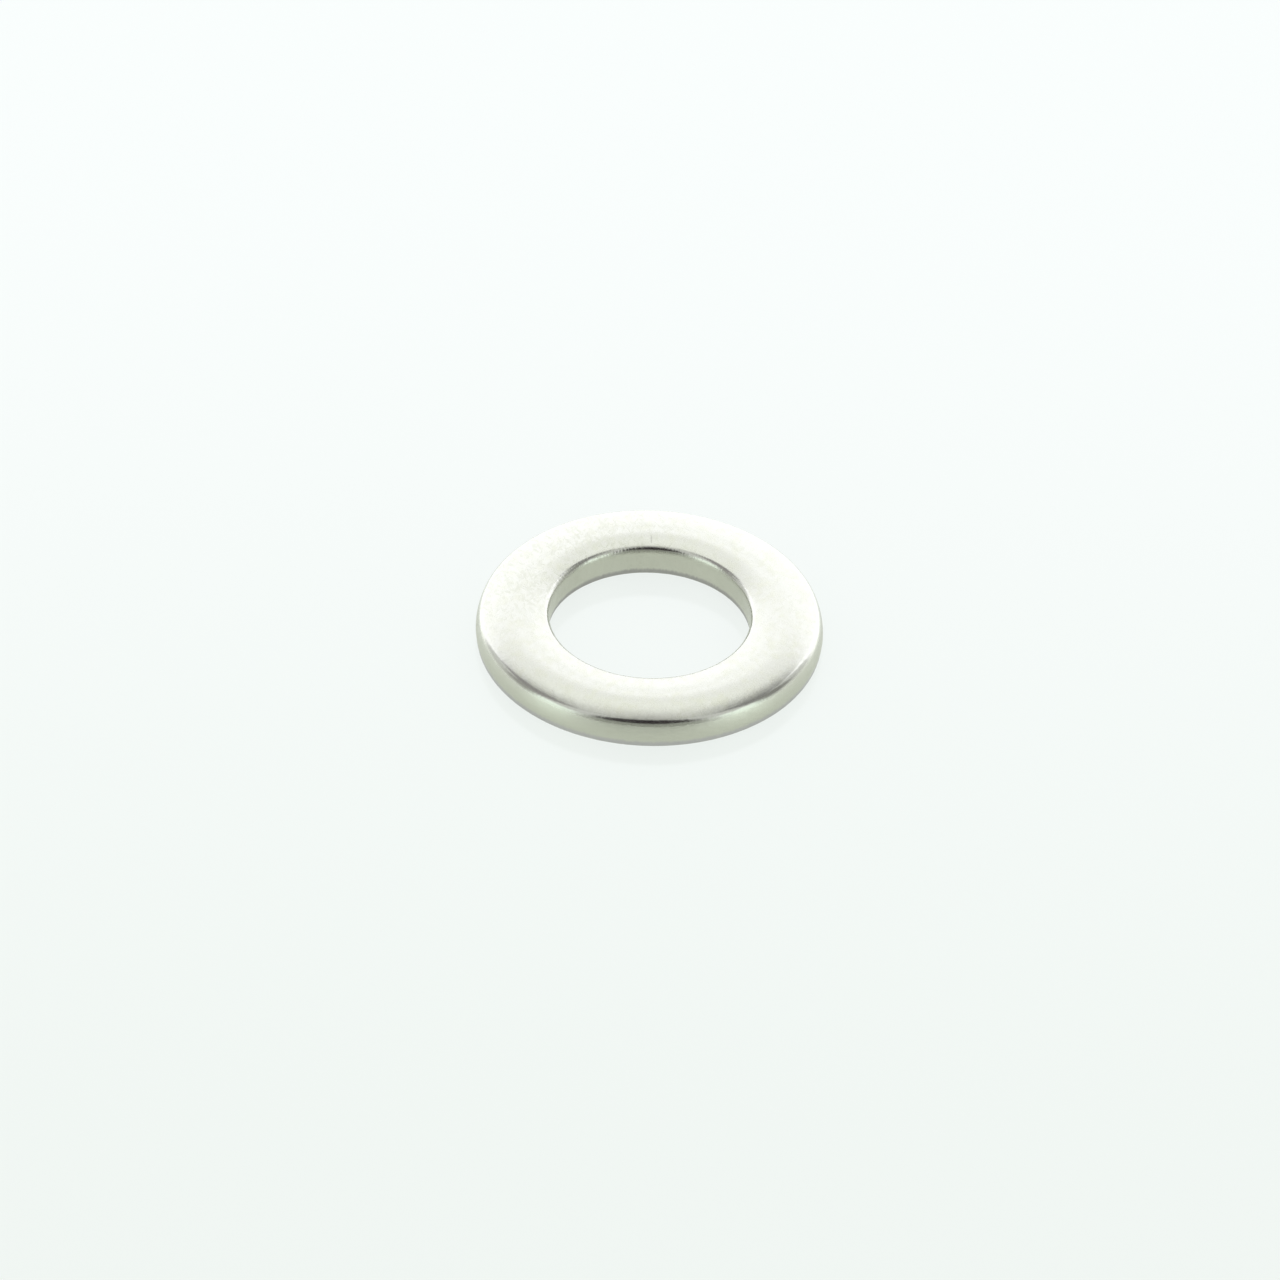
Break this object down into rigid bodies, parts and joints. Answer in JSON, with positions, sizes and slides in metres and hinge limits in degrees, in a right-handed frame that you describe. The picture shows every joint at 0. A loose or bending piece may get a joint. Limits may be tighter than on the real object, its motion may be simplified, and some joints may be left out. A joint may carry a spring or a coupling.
{
  "type": "plain washer",
  "caption": "Flat round steel washer with a plain central bore and edges rolled over on the upper face, to spread the load under a bolt head or nut.",
  "frame": {"origin": "centre of the bore on the lower face, on the surface that the washer lies on", "axes": "+Z along the bore's axis, up through the face with the rolled edges"},
  "size_m": [0.0148, 0.0146, 0.0015],
  "materials": {
    "washer_steel": "bright, tumbled"
  },
  "bodies": {
    "root": {"washer": "washer_steel"}
  },
  "joints": []
}
